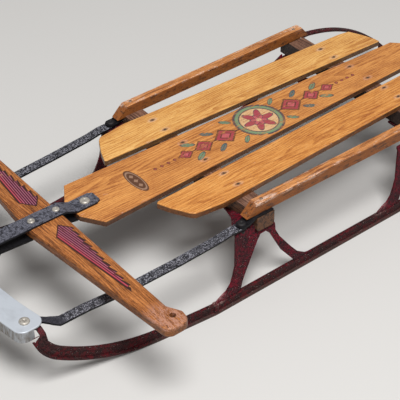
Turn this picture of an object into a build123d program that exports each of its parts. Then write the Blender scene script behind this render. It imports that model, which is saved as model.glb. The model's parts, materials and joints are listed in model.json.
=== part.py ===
from build123d import *
import math
import os

os.makedirs("parts", exist_ok=True)

# Steerable runner sled. Millimetres, +X forward, +Y to the sled's left, +Z up.
# Origin on the floor, on the centre line, half way along the length.

# Heights
deck_top = 146.0
slat_t = 9.5
bench_top = deck_top - slat_t
bench_t = 29.0
bench_bottom = bench_top - bench_t
bench_notch = 5.0
bench_end_top = bench_top - bench_notch
runner_h = 18.0

# Clearances
seat_gap = 0.3
pin_slack = 3.0
notch_gap = 1.0

# Reach of a cutting shape past the piece it cuts
beyond = 200.0

# Cross benches
bench_w = 32.0
bench_half = 166.5
bench_front_x = 90.0
bench_rear_x = -250.0
bench_chamfer = 3.0

# Deck slats, seen from above
centre_front_half = 52.0
centre_rear_half = 32.5
centre_front_x = 284.0
centre_rear_x = -357.5
nose_len = 21.5
nose_half = 19.0
stern_len = 12.0
stern_half = 20.5
side_front_in = 61.3
side_front_out = 122.0
side_rear_in = 47.0
side_rear_out = 104.5
side_front_x = 204.5
side_rear_x = -346.5
side_shoulder_x = 128.5
side_tail_x = -308.5
slat_ease = 1.4

# Corners of a side slat's ends: distance in from the end, share of the end's width
side_front_corners = ((3.0, 0.0), (0.0, 0.04), (8.0, 0.37), (23.0, 0.81), (29.0, 0.90))
side_rear_corners = ((19.0, 0.94), (10.0, 0.61), (1.0, 0.19), (0.0, 0.0))

# Side rails
strap_t = 3.0
rail_bottom = bench_end_top + strap_t
rail_h = 19.0
rail_w = 15.0
rail_front = 121.0
rail_rear = -281.0
rail_end_in = 11.7
rail_mid_y = bench_half - rail_end_in
rail_splay = 0.009
rail_bevel = 20.0
rail_rear_bevel = 16.0
rail_ease = 2.2

# Runner section and plan
runner_out = 4.0
runner_y = bench_half + runner_out
tread_w = 9.5
tread_t = 3.5
cap_w = 5.5
cap_t = 3.2
web_t = 3.0
split_x = 184.5
hinge_r = tread_w / 2

# Turned-up rear ends, in an upright plane that runs in towards the rail
curl_x = -479.0
curl_r = 14.5
curl_t = 4.0
curl_turn = 135.0
curl_in = 13.5
curl_seat = 16.0
curl_lap = 2.0
web_back = 22.0
web_slope = 24.0

# Front ends of the runners, each in an upright plane that runs in towards the bumper
flat_run = 84.2
rise_run = 164.3
rise_h = 50.4
turn_run = 30.0
turn_h = 57.8
front_run = flat_run + rise_run + turn_run
front_in = 26.7

# Flat tab at each runner's front end, turned inward behind the bumper
tip_cut = 92.5
tab_rear = 447.0
tab_w = 8.0
tab_bend = 12.0
tab_root_w = 18.5
tab_lap = 6.0
tab_lap_in = 3.0
tab_pad_w = 12.0
tab_heel = 6.0
tab_eye_r = 11.0

# Straps
brace_w = 15.5
brace_neck_w = 11.0
brace_pin_x = 127.5
brace_pin_in = 9.5
brace_pin_y = bench_half - brace_pin_in
brace_pin_r = 3.5
rail_strap_w = 17.0
rail_strap_bend = 12.0

# Knees, seen from the front
knee_t = 3.0
knee_front_x = 87.5
knee_rear_x = -236.0
knee_in_y = 90.0
knee_end_in = 5.5
knee_top_y = bench_half - knee_end_in
knee_bend = 4.0
knee_neck_drop = 7.0
knee_foot_rise = 8.0
knee_ear_top = 121.5
knee_ear_rise = 5.0
ear_ramp_in = 22.0
ear_edge_in = 5.0
knee_margin = 8.0
ear_root_in = 35.0
ear_waist_in = 18.0
ear_tip_in = 4.0
bench_clear = 1.0

# Bumper
bumper_top = 112.0
bumper_t = 2.5
bumper_skirt = 19.0
bumper_skirt_back = 6.0
bumper_depth = 40.0
bumper_front = 493.5
bumper_half = 135.0
bumper_bow = 16.5
bumper_front_bow = 13.5
bumper_round = 15.0
bumper_ease = 1.2
bolt_r = 4.0
bolt_head_r = 7.5
bolt_head_h = 3.0
bolt_tail = 6.0
bolt_in = 18.0
bolt_back = 9.0
head_round = 0.6

# Steering bar and yoke
pivot_x = 283.5
bar_set = 43.5
bar_depth = 56.3
bar_rear = pivot_x + bar_set
bar_front = bar_rear + bar_depth
bar_half = 284.0
bar_t = 16.0
bar_top = deck_top + 9.5
bar_taper = 0.0996
bar_grip_in = 40.0
bar_grip_back = 11.0
bar_grip_len = 20.0
bar_end_back = 8.0
bar_round = 13.0
bar_ease = 4.5
rope_in = 20.0
rope_back = 5.0
rope_r = 4.5
rivet_r = 2.5
rivet_head_r = 5.3
rivet_head_h = 2.2
rivet_tail = 1.0
rivet_in = 4.5
rivet_pitch = 40.5
yoke_w = 26.0
yoke_tail = 19.5
yoke_tail_cut = 7.0
yoke_tail_half = 9.0
yoke_end_r = 14.0
yoke_level = 50.0
yoke_low_rise = 3.0
yoke_step_in = 20.0
yoke_low_step_in = 24.0
yoke_pad = 12.0

bumper_rear = bumper_front - bumper_depth
bumper_bolt_x = bumper_rear + bolt_back
bumper_bolt_y = bumper_half - bolt_in
yoke_end_x = (bumper_front + bumper_rear) / 2
stack_brace_top = bumper_top - bumper_t - seat_gap
stack_runner_top = stack_brace_top - strap_t - seat_gap
brace_z = knee_ear_top + seat_gap + strap_t / 2
rail_strap_eye_z = brace_z + strap_t + seat_gap
rivet_xs = (bar_rear + rivet_in, bar_rear + rivet_in + rivet_pitch)
rope_x = bar_rear + rope_back
rope_y = bar_half - rope_in

SIDES = (("left", 1.0), ("right", -1.0))


def save(part, name):
    """Names a piece and writes it out."""
    part.label = name
    export_step(part, f"parts/{name}.step")


def strip(points, width):
    """Closed outline of a band along an open run of points, of one width or a tuple of one width a point."""
    widths = width if isinstance(width, tuple) else (width,) * len(points)
    left = []
    right = []
    last = len(points) - 1
    for i, (px, pz) in enumerate(points):
        normals = []
        for a in (max(i - 1, 0), min(i, last - 1)):
            dx = points[a + 1][0] - points[a][0]
            dz = points[a + 1][1] - points[a][1]
            size = math.hypot(dx, dz)
            normals.append((-dz / size, dx / size))
        nx = normals[0][0] + normals[1][0]
        nz = normals[0][1] + normals[1][1]
        size = math.hypot(nx, nz)
        reach = widths[i] / 2 / (nx / size * normals[0][0] + nz / size * normals[0][1])
        left.append((px + nx / size * reach, pz + nz / size * reach))
        right.append((px - nx / size * reach, pz - nz / size * reach))
    return left + right[::-1]


def plate(points):
    """Face from a closed run of corner points, on the sketch plane in use."""
    Polygon(*points, align=None)


# Slats
centre_side = [
    (centre_rear_x - stern_len, stern_half), (centre_rear_x, centre_rear_half),
    (centre_front_x, centre_front_half), (centre_front_x + nose_len, nose_half),
]
centre_outline = centre_side + [(x, -y) for x, y in reversed(centre_side)]
side_front_w = side_front_out - side_front_in
side_rear_w = side_rear_out - side_rear_in
side_outline = (
    [(side_front_x - back, side_front_in + share * side_front_w) for back, share in side_front_corners]
    + [(side_shoulder_x, side_front_out), (side_tail_x, side_rear_out)]
    + [(side_rear_x + ahead, side_rear_in + share * side_rear_w) for ahead, share in side_rear_corners]
)

with BuildPart() as slat_centre:
    with BuildSketch(Plane.XY.offset(bench_top)):
        plate(centre_outline)
    extrude(amount=slat_t)
    fillet(slat_centre.edges().group_by(Axis.Z)[-1], slat_ease)
    with BuildSketch(Plane.XY.offset(bench_top)):
        with Locations((pivot_x, 0)):
            Circle(bolt_r + seat_gap)
    extrude(amount=slat_t, mode=Mode.SUBTRACT)
save(slat_centre.part, "slat_centre")

for side_name, side in SIDES:
    with BuildPart() as slat_side:
        with BuildSketch(Plane.XY.offset(bench_top)):
            plate([(x, side * y) for x, y in side_outline])
        extrude(amount=slat_t)
        fillet(slat_side.edges().group_by(Axis.Z)[-1], slat_ease)
    save(slat_side.part, f"slat_{side_name}")

# Cross benches, the lower edges taken off and the ends notched for the rails
notch_y = rail_mid_y - rail_w / 2 - notch_gap
BENCHES = (("bench_front", bench_front_x), ("bench_rear", bench_rear_x))
for bench_name, bench_x in BENCHES:
    with BuildPart() as bench:
        with BuildSketch(Plane.XZ.offset(-bench_half)):
            plate([
                (bench_x - bench_w / 2, bench_top), (bench_x - bench_w / 2, bench_bottom + bench_chamfer),
                (bench_x - bench_w / 2 + bench_chamfer, bench_bottom),
                (bench_x + bench_w / 2 - bench_chamfer, bench_bottom),
                (bench_x + bench_w / 2, bench_bottom + bench_chamfer), (bench_x + bench_w / 2, bench_top),
            ])
        extrude(amount=2 * bench_half)
        with BuildSketch(Plane.XY.offset(bench_end_top)):
            with Locations((bench_x, bench_half), (bench_x, -bench_half)):
                Rectangle(2 * bench_w, 2 * (bench_half - notch_y))
        extrude(amount=2 * bench_notch, mode=Mode.SUBTRACT)
    save(bench.part, bench_name)

# Side rails: both ends cut on a slant, top edges eased
for side_name, side in SIDES:
    rail_plane = Plane(
        origin=(0, side * (rail_mid_y + rail_w / 2), rail_bottom),
        x_dir=(1, -side * rail_splay, 0),
        z_dir=(-side * rail_splay, -1, 0),
    )
    with BuildPart() as rail:
        with BuildSketch(rail_plane):
            plate([
                (rail_rear, 0), (rail_front, 0), (rail_front - rail_bevel, rail_h),
                (rail_rear + rail_rear_bevel, rail_h),
            ])
        extrude(amount=side * rail_w)
        fillet(rail.edges().group_by(Axis.Z)[-1].filter_by(lambda e: e.length > rail_front), rail_ease)
    save(rail.part, f"side_rail_{side_name}")

# Knees. Two bent strips seen from the front share one leg: a low flange under the bench and, ahead
# of the bench, an ear that slopes up to take the brace. The legs are cut from the side, the ear from above.
flange_z = bench_bottom - knee_t / 2
knee_flange_drop = knee_ear_top - bench_bottom
ear_z = knee_ear_top - knee_t / 2
leg_run = [(knee_top_y + knee_bend / 4, flange_z - knee_neck_drop), (runner_y, runner_h + knee_foot_rise),
           (runner_y, runner_h)]
low_strip = [(knee_in_y, flange_z), (knee_top_y - knee_bend, flange_z),
             (knee_top_y, flange_z - knee_bend)] + leg_run
ear_strip = [(knee_in_y, flange_z), (knee_top_y - ear_ramp_in, ear_z), (knee_top_y - ear_edge_in, ear_z),
             (knee_top_y, ear_z - knee_ear_rise)] + leg_run
# Leg outline from the side: ahead of the knee's middle, height
leg_front = [(54, ear_z + knee_t), (55.5, 93), (58, 67), (62, 53), (68, 39), (77.5, 30), (97, 23),
             (98, runner_h)]
leg_crotch = [(53, runner_h), (47, 34), (39.5, 48), (33, 59), (24, 75), (15, 90), (9, 98), (-1, 98),
              (-9, 90), (-29, 50), (-54, runner_h)]
leg_rear = [(-88, runner_h), (-76, 21), (-61, 31), (-47, 48), (-26, 77), (-19, 92), (-19, ear_z + knee_t)]
knee_outline = leg_front + leg_crotch + leg_rear
# Ear outline from above: ahead of the knee's middle, distance from the centre line
ear_front = [(14, knee_in_y - knee_margin), (33, knee_top_y - ear_root_in), (46, knee_top_y - ear_waist_in),
             (56, knee_top_y - ear_tip_in), (58, knee_top_y + ear_tip_in), (110, runner_y + 2),
             (110, runner_y + knee_margin)]
KNEES = (("knee_front", knee_front_x, bench_front_x), ("knee_rear", knee_rear_x, bench_rear_x))
for knee_name, knee_x, knee_bench_x in KNEES:
    ear_x = knee_bench_x + bench_w / 2 + bench_clear
    for side_name, side in SIDES:
        with BuildPart() as knee:
            with BuildSketch(Plane.YZ.offset(knee_x - beyond)):
                plate(strip([(side * y, z) for y, z in low_strip], knee_t))
            extrude(amount=ear_x - knee_x + beyond)
            with BuildSketch(Plane.YZ.offset(ear_x)):
                plate(strip([(side * y, z) for y, z in ear_strip], knee_t))
            extrude(amount=beyond)
            with BuildSketch(Plane.XZ.offset(-beyond)):
                plate([(knee_x + x, z) for x, z in knee_outline])
            extrude(amount=2 * beyond, mode=Mode.INTERSECT)
            with BuildSketch(Plane.XY):
                plate([(knee_x - beyond, side * (knee_in_y - knee_margin))]
                      + [(knee_x + x, side * y) for x, y in ear_front]
                      + [(knee_x - beyond, side * (runner_y + knee_margin))])
            extrude(amount=deck_top, mode=Mode.INTERSECT)
            if knee_name == "knee_front":
                with BuildSketch(Plane.XY.offset(knee_ear_top)):
                    with Locations((brace_pin_x, side * brace_pin_y)):
                        Circle(brace_pin_r)
                extrude(amount=-knee_flange_drop, mode=Mode.SUBTRACT)
        save(knee.part, f"{knee_name}_{side_name}")

# Rear lengths of the runners: grooved section, tread turned up and forward to the rail
web_end_x = curl_x + web_back
web_top_x = web_end_x + web_slope
curl_end_x = rail_rear + curl_seat / 2
curl_lean = math.atan2(curl_in, curl_end_x - curl_x)
curl_reach = (curl_end_x - curl_x) / math.cos(curl_lean)
for side_name, side in SIDES:
    y = side * runner_y
    curl_ahead = (math.cos(curl_lean), -side * math.sin(curl_lean), 0)
    curl_across = (side * math.sin(curl_lean), math.cos(curl_lean), 0)
    curl_plane = Plane(origin=(curl_x, y, 0), x_dir=curl_ahead, z_dir=(curl_ahead[1], -curl_ahead[0], 0))
    with BuildPart() as runner:
        with BuildSketch(Plane.XZ.offset(-y)):
            plate([
                (curl_x + curl_lap, tread_t / 2), (split_x, tread_t / 2), (split_x, runner_h - cap_t / 2),
                (web_top_x, runner_h - cap_t / 2), (web_end_x, tread_t),
            ])
        extrude(amount=web_t / 2, both=True)
        with BuildSketch(Plane.XY):
            with Locations(((curl_x + split_x) / 2, y)):
                Rectangle(split_x - curl_x, tread_w)
        extrude(amount=tread_t)
        with BuildSketch(Plane.XY.offset(runner_h - cap_t)):
            with Locations(((web_top_x + split_x) / 2, y)):
                Rectangle(split_x - web_top_x, cap_w)
        extrude(amount=cap_t)
        with BuildLine(curl_plane) as curl_path:
            Line((curl_lap, curl_t / 2), (0, curl_t / 2))
            back = CenterArc((0, curl_r), curl_r - curl_t / 2, -90, -curl_turn)
            TangentArc(back @ 1, (curl_reach, rail_bottom - curl_t / 2), tangent=back % 1)
        with BuildSketch(Plane(
            origin=(curl_x + curl_lap * curl_ahead[0], y + curl_lap * curl_ahead[1], curl_t / 2),
            x_dir=curl_across, z_dir=(-curl_ahead[0], -curl_ahead[1], 0),
        )):
            Rectangle(tread_w, curl_t)
        sweep(path=curl_path.wire())
        with BuildSketch(Plane.XY.offset(rail_bottom - strap_t)):
            with Locations((curl_end_x - strap_t, side * (runner_y - curl_in))):
                Rectangle(curl_seat, rail_w)
        extrude(amount=strap_t)
        with BuildSketch(Plane.XY):
            with Locations((split_x, y)):
                Circle(hinge_r + seat_gap)
        extrude(amount=runner_h, mode=Mode.SUBTRACT)
    save(runner.part, f"runner_{side_name}")

# Front lengths of the runners. The grooved section rises to a flat cut; above it a narrower tab turns
# inward under the brace and runs to the bumper's bolt.
section_mid = runner_h / 2
front_lean = math.asin(front_in / front_run)
tab_mid_x = tab_rear + tab_w / 2
tab_z = stack_runner_top - strap_t / 2
tab_y = runner_y - math.tan(front_lean) * (tab_mid_x - split_x)
tab_profile = [(tab_y, tip_cut - tab_lap), (tab_y, tab_z - tab_bend),
               (tab_y - 0.3 * tab_bend, tab_z - 0.3 * tab_bend), (tab_y - tab_bend, tab_z), (0, tab_z)]
tab_side = [(tab_rear + tab_lap_in, tip_cut - tab_lap), (tab_rear, tip_cut), (tab_rear, stack_runner_top),
            (bumper_front, stack_runner_top), (bumper_front, tab_z - strap_t),
            (tab_rear + tab_w, tab_z - strap_t), (tab_rear + tab_root_w, tip_cut),
            (tab_rear + tab_root_w - tab_lap_in, tip_cut - tab_lap)]
tab_knuckle_y = tab_y - tab_bend - tab_heel
for side_name, side in SIDES:
    ahead = (math.cos(front_lean), -side * math.sin(front_lean), 0)
    across = (side * math.sin(front_lean), math.cos(front_lean), 0)
    root = (split_x, side * runner_y, section_mid)
    front_plane = Plane(origin=root, x_dir=ahead, z_dir=(ahead[1], -ahead[0], 0))
    with BuildPart() as tab:
        with BuildSketch(Plane.YZ.offset(split_x)):
            plate(strip([(side * y, z) for y, z in tab_profile], strap_t))
        extrude(amount=bumper_front)
        with BuildSketch(Plane.XZ.offset(-beyond)):
            plate(tab_side)
        extrude(amount=2 * beyond, mode=Mode.INTERSECT)
        with BuildSketch(Plane.XY.offset(runner_h)):
            plate(strip([(tab_mid_x, side * runner_y), (tab_mid_x, side * tab_knuckle_y)], tab_w))
            plate(strip([(tab_mid_x, side * tab_knuckle_y), (bumper_bolt_x, side * bumper_bolt_y)],
                        tab_pad_w))
            with Locations((tab_rear + tab_root_w / 2, side * tab_y)):
                Rectangle(tab_root_w, 2 * strap_t)
            with Locations((bumper_bolt_x, side * bumper_bolt_y)):
                Circle(tab_eye_r)
        extrude(amount=deck_top, mode=Mode.INTERSECT)
    with BuildPart() as front:
        with BuildLine(front_plane) as front_path:
            flat = Line((0, 0), (flat_run, 0))
            rise = TangentArc(flat @ 1, (flat_run + rise_run, rise_h), tangent=flat % 1)
            TangentArc(rise @ 1, (flat_run + rise_run + turn_run, rise_h + turn_h), tangent=rise % 1)
        with BuildSketch(Plane(origin=root, x_dir=across, z_dir=ahead)):
            Rectangle(web_t, runner_h)
            with Locations((0, -section_mid + tread_t / 2)):
                Rectangle(tread_w, tread_t)
            with Locations((0, section_mid - cap_t / 2)):
                Rectangle(cap_w, cap_t)
        sweep(path=front_path.wire())
        with BuildSketch(Plane.XY):
            with Locations((split_x, side * runner_y)):
                Circle(hinge_r)
        extrude(amount=runner_h)
        with BuildSketch(Plane.XY.offset(tip_cut)):
            with Locations((bumper_bolt_x, side * runner_y)):
                Rectangle(beyond, beyond)
        extrude(amount=deck_top, mode=Mode.SUBTRACT)
        add(tab.part)
        with BuildSketch(Plane.XY.offset(stack_runner_top)):
            with Locations((bumper_bolt_x, side * bumper_bolt_y)):
                Circle(bolt_r + pin_slack)
        extrude(amount=-2 * strap_t, mode=Mode.SUBTRACT)
    save(front.part, f"runner_front_{side_name}")

# Brace straps: side profile cut to the plan, rounded about both bolts
# Stations: ahead of the rear bolt, inward of it, drop below it, width
brace_run = bumper_bolt_x - brace_pin_x
brace_shift = brace_pin_y - bumper_bolt_y
brace_drop = brace_z - stack_brace_top + strap_t / 2
BRACE_STATIONS = (
    (0.0, 0.0, 0.0, brace_w),
    (22.0, 0.6, 0.0, brace_w),
    (44.5, 1.3, 3.4, brace_w),
    (112.5, 3.2, 7.8, brace_w),
    (157.5, 4.9, 9.4, brace_w),
    (195.5, 6.3, 10.9, brace_w),
    (257.5, 13.8, 13.3, brace_w),
    (brace_run - 40, 18.5, 18.3, brace_w),
    (brace_run - 30, 27.5, 18.3, (brace_w + brace_neck_w) / 2),
    (brace_run - 20, 34.0, brace_drop, brace_neck_w),
    (brace_run, brace_shift, brace_drop, brace_w),
)
brace_plan = [(brace_pin_x + ahead, brace_pin_y - inward) for ahead, inward, drop, width in BRACE_STATIONS]
brace_side = (
    [(brace_pin_x - 2 * brace_w, brace_z)]
    + [(brace_pin_x + ahead, brace_z - drop) for ahead, inward, drop, width in BRACE_STATIONS[1:-1]]
    + [(bumper_bolt_x + 2 * brace_w, brace_z - brace_drop)]
)
brace_widths = tuple(width for ahead, inward, drop, width in BRACE_STATIONS)
for side_name, side in SIDES:
    with BuildPart() as brace:
        with BuildSketch(Plane.XZ.offset(-runner_y)):
            plate(strip(brace_side, strap_t))
        extrude(amount=2 * runner_y)
        with BuildSketch(Plane.XY.offset(runner_h)):
            plate(strip([(x, side * y) for x, y in brace_plan], brace_widths))
            with Locations((bumper_bolt_x, side * bumper_bolt_y), (brace_pin_x, side * brace_pin_y)):
                Circle(brace_w / 2)
        extrude(amount=deck_top, mode=Mode.INTERSECT)
        with BuildSketch(Plane.XY.offset(runner_h)):
            with Locations((bumper_bolt_x, side * bumper_bolt_y)):
                Circle(bolt_r + pin_slack)
            with Locations((brace_pin_x, side * brace_pin_y)):
                Circle(brace_pin_r + seat_gap)
        extrude(amount=deck_top, mode=Mode.SUBTRACT)
    save(brace.part, f"brace_{side_name}")

# Rail straps: held between rail and bench, bent down ahead of the bench to the brace bolt
rail_strap_z = bench_end_top + strap_t / 2
rail_strap_edge = bench_front_x + bench_w / 2 + bench_clear
rail_strap_side = [
    (bench_front_x - bench_w, rail_strap_z), (rail_strap_edge, rail_strap_z),
    (rail_strap_edge + rail_strap_bend, rail_strap_eye_z), (brace_pin_x + 2 * rail_strap_w, rail_strap_eye_z),
]
rail_strap_rear = bench_front_x - bench_w / 2 + bench_clear
for side_name, side in SIDES:
    with BuildPart() as rail_strap:
        with BuildSketch(Plane.XZ.offset(-runner_y)):
            plate(strip(rail_strap_side, strap_t))
        extrude(amount=2 * runner_y)
        with BuildSketch(Plane.XY.offset(runner_h)):
            plate(strip([(rail_strap_rear, side * brace_pin_y), (brace_pin_x, side * brace_pin_y)],
                        rail_strap_w))
            with Locations((brace_pin_x, side * brace_pin_y)):
                Circle(rail_strap_w / 2)
        extrude(amount=deck_top, mode=Mode.INTERSECT)
        with BuildSketch(Plane.XY.offset(runner_h)):
            with Locations((brace_pin_x, side * brace_pin_y)):
                Circle(brace_pin_r)
        extrude(amount=deck_top, mode=Mode.SUBTRACT)
    save(rail_strap.part, f"rail_strap_{side_name}")

# Bumper: bowed plate with rounded ends and a skirt turned down along its front and ends
# Outlines: inset from the plate's edge, further back at the rear, base height, extrusion, mode
OUTLINES = (
    (0.0, 0.0, bumper_top - bumper_skirt, bumper_skirt, Mode.ADD),
    (bumper_t, bumper_depth, bumper_top - bumper_t, -bumper_skirt, Mode.SUBTRACT),
)
with BuildPart() as bumper:
    for inset, rear_out, base_z, height, outline_mode in OUTLINES:
        rear_x = bumper_rear - rear_out
        front_x = bumper_front - inset
        half = bumper_half - inset
        with BuildSketch(Plane.XY.offset(base_z)) as bumper_outline:
            with BuildLine():
                rear_edge = ThreePointArc(
                    (rear_x - bumper_bow, half), (rear_x, 0), (rear_x - bumper_bow, -half))
                front_edge = ThreePointArc(
                    (front_x - bumper_front_bow, half), (front_x, 0), (front_x - bumper_front_bow, -half))
                Line(rear_edge @ 0, front_edge @ 0)
                Line(rear_edge @ 1, front_edge @ 1)
            make_face()
            fillet(bumper_outline.vertices(), bumper_round - inset)
        extrude(amount=height, mode=outline_mode)
    with BuildSketch(Plane.XY.offset(bumper_top - bumper_t)):
        with Locations((bumper_rear - bumper_depth, 0)):
            Rectangle(2 * (bumper_depth + bumper_skirt_back), 3 * bumper_half)
    extrude(amount=-bumper_skirt, mode=Mode.SUBTRACT)
    fillet(bumper.edges().group_by(Axis.Z)[-1], bumper_ease)
    with BuildSketch(Plane.XY.offset(bumper_top)):
        with Locations((bumper_bolt_x, bumper_bolt_y), (bumper_bolt_x, -bumper_bolt_y), (yoke_end_x, 0)):
            Circle(bolt_r)
    extrude(amount=-bumper_skirt, mode=Mode.SUBTRACT)
save(bumper.part, "bumper")

# Bolts: place, seat of the head, length of the shank below it, shank radius
yoke_low_end = bumper_top + seat_gap + strap_t / 2
yoke_up_end = yoke_low_end + strap_t + seat_gap
yoke_low_tail = bench_top - seat_gap - strap_t / 2
yoke_up_tail = deck_top + seat_gap + strap_t / 2
centre_seat = yoke_up_end + strap_t / 2
pivot_seat = yoke_up_tail + strap_t / 2
brace_seat = rail_strap_eye_z + strap_t / 2
side_shank = bumper_top - stack_runner_top + strap_t + bolt_tail
centre_shank = centre_seat - bumper_top + bumper_t + bolt_tail
pivot_shank = pivot_seat - yoke_low_tail + strap_t / 2 + bolt_tail
brace_shank = brace_seat - knee_ear_top + knee_t + bolt_tail
BOLTS = (
    ("bumper_bolt_left", bumper_bolt_x, bumper_bolt_y, bumper_top, side_shank, bolt_r),
    ("bumper_bolt_right", bumper_bolt_x, -bumper_bolt_y, bumper_top, side_shank, bolt_r),
    ("bumper_bolt_centre", yoke_end_x, 0.0, centre_seat, centre_shank, bolt_r),
    ("pivot_bolt", pivot_x, 0.0, pivot_seat, pivot_shank, bolt_r),
    ("brace_bolt_left", brace_pin_x, brace_pin_y, brace_seat, brace_shank, brace_pin_r),
    ("brace_bolt_right", brace_pin_x, -brace_pin_y, brace_seat, brace_shank, brace_pin_r),
)
for bolt_name, bolt_x, bolt_y, seat_z, shank, shank_r in BOLTS:
    with BuildPart() as bolt:
        with BuildSketch(Plane.XY.offset(seat_z)):
            with Locations((bolt_x, bolt_y)):
                Circle(bolt_head_r * shank_r / bolt_r)
        extrude(amount=bolt_head_h)
        fillet(bolt.edges().group_by(Axis.Z)[-1], bolt_head_h * head_round)
        with BuildSketch(Plane.XY.offset(seat_z)):
            with Locations((bolt_x, bolt_y)):
                Circle(shank_r)
        extrude(amount=-shank)
    save(bolt.part, bolt_name)

# Steering bar: front edge tapering to rounded ends, grips stepped back at the rear, all edges eased
bar_side = [(bar_front - bar_taper * bar_half, bar_half), (bar_rear - bar_end_back, bar_half),
            (bar_rear - bar_grip_back, bar_half - bar_grip_len), (bar_rear, bar_half - bar_grip_in)]
bar_outline = [(bar_front, 0)] + bar_side + [(x, -y) for x, y in reversed(bar_side)]
with BuildPart() as bar:
    with BuildSketch(Plane.XY.offset(bar_top - bar_t)) as bar_sketch:
        plate(bar_outline)
        fillet(bar_sketch.vertices().filter_by(lambda v: bar_half - 1 > abs(v.Y) > 1), bar_round / 2)
        fillet(bar_sketch.vertices().filter_by(lambda v: abs(v.Y) > bar_half - 1), bar_round)
    extrude(amount=bar_t)
    fillet(bar.edges().group_by(Axis.Z)[-1] + bar.edges().group_by(Axis.Z)[0], bar_ease)
    with BuildSketch(Plane.XY.offset(bar_top)):
        with Locations((rope_x, rope_y), (rope_x, -rope_y)):
            Circle(rope_r)
        with Locations(*[(x, 0) for x in rivet_xs]):
            Circle(rivet_r)
    extrude(amount=-bar_t, mode=Mode.SUBTRACT)
save(bar.part, "steering_bar")

# Yoke straps above and below the bar, level past its front and bent down to the bumper
yoke_bar_up = bar_top + strap_t / 2
yoke_bar_low = bar_top - bar_t - strap_t / 2
yoke_upper_side = [
    (pivot_x - 2 * yoke_tail, yoke_up_tail), (pivot_x + yoke_step_in, yoke_up_tail),
    (bar_rear - yoke_low_rise, yoke_bar_up), (bar_front + yoke_level, yoke_bar_up),
    (yoke_end_x - yoke_pad, yoke_up_end), (yoke_end_x + 2 * yoke_end_r, yoke_up_end),
]
yoke_lower_side = [
    (pivot_x - 2 * yoke_tail, yoke_low_tail), (pivot_x + yoke_low_step_in, yoke_low_tail),
    (bar_rear - yoke_low_rise, yoke_bar_low), (bar_front, yoke_bar_low),
    (bar_front + yoke_level - strap_t, yoke_bar_low + yoke_low_rise),
    (yoke_end_x - yoke_pad - strap_t, yoke_low_end), (yoke_end_x + 2 * yoke_end_r, yoke_low_end),
]
yoke_half = yoke_w / 2
yoke_tail_x = pivot_x - yoke_tail
yoke_plan = [(yoke_tail_x, yoke_tail_half), (yoke_tail_x + yoke_tail_cut, yoke_half), (yoke_end_x, yoke_half)]
YOKES = (("yoke_upper", yoke_upper_side), ("yoke_lower", yoke_lower_side))
for yoke_name, yoke_side in YOKES:
    with BuildPart() as yoke:
        with BuildSketch(Plane.XZ.offset(-yoke_w)):
            plate(strip(yoke_side, strap_t))
        extrude(amount=2 * yoke_w)
        with BuildSketch(Plane.XY.offset(runner_h)):
            plate(yoke_plan + [(x, -y) for x, y in reversed(yoke_plan)])
            with Locations((yoke_end_x, 0)):
                Circle(yoke_end_r)
        extrude(amount=deck_top, mode=Mode.INTERSECT)
        with BuildSketch(Plane.XY.offset(runner_h)):
            with Locations((pivot_x, 0)):
                Circle(bolt_r)
            with Locations(*[(x, 0) for x in rivet_xs]):
                Circle(rivet_r)
            with Locations((yoke_end_x, 0)):
                Circle(bolt_r + pin_slack)
        extrude(amount=deck_top, mode=Mode.SUBTRACT)
    save(yoke.part, yoke_name)

# Rivets through bar and straps
rivet_top = bar_top + strap_t
rivet_len = bar_t + 2 * strap_t + rivet_tail
with BuildPart() as rivets:
    with BuildSketch(Plane.XY.offset(rivet_top)):
        with Locations(*[(x, 0) for x in rivet_xs]):
            Circle(rivet_head_r)
    extrude(amount=rivet_head_h)
    fillet(rivets.edges().group_by(Axis.Z)[-1], rivet_head_h * head_round)
    with BuildSketch(Plane.XY.offset(rivet_top)):
        with Locations(*[(x, 0) for x in rivet_xs]):
            Circle(rivet_r)
    extrude(amount=-rivet_len)
save(rivets.part, "yoke_rivets")
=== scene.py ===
"""Runner sled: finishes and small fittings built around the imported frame.

Everything stands in metres in the frame's own axes: +X ahead to the bumper, +Y to the sled's left,
+Z up. Sizes kept as fields, and places inside the materials, are in millimetres.
"""

import json
import logging
import math
from dataclasses import dataclass, replace
from enum import Enum
from typing import Callable, Iterator, Optional, Sequence, Union

import bmesh
import bpy
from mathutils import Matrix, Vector

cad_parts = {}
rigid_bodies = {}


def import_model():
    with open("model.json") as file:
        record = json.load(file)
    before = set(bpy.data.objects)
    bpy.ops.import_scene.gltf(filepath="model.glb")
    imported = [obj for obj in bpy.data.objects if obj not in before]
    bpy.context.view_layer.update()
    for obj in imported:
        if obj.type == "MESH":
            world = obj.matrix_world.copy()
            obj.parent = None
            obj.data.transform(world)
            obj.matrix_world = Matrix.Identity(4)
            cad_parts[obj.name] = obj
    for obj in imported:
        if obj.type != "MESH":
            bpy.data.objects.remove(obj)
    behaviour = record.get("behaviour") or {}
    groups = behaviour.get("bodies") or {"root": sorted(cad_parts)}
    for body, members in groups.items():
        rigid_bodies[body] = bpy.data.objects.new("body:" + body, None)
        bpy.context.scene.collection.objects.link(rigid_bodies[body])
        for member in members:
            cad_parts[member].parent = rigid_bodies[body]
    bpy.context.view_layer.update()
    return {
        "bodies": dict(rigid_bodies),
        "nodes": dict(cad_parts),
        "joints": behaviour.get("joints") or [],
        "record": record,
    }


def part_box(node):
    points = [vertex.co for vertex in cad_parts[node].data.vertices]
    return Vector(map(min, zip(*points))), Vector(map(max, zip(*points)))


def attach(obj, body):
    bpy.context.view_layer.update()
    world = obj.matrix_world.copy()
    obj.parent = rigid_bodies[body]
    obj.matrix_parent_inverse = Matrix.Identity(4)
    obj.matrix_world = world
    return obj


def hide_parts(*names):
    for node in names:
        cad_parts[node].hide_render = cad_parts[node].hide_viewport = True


LOG = logging.getLogger("sled")
MM = 0.001
MERGE = 1e-6
SIDES = (("left", 1), ("right", -1))

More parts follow.
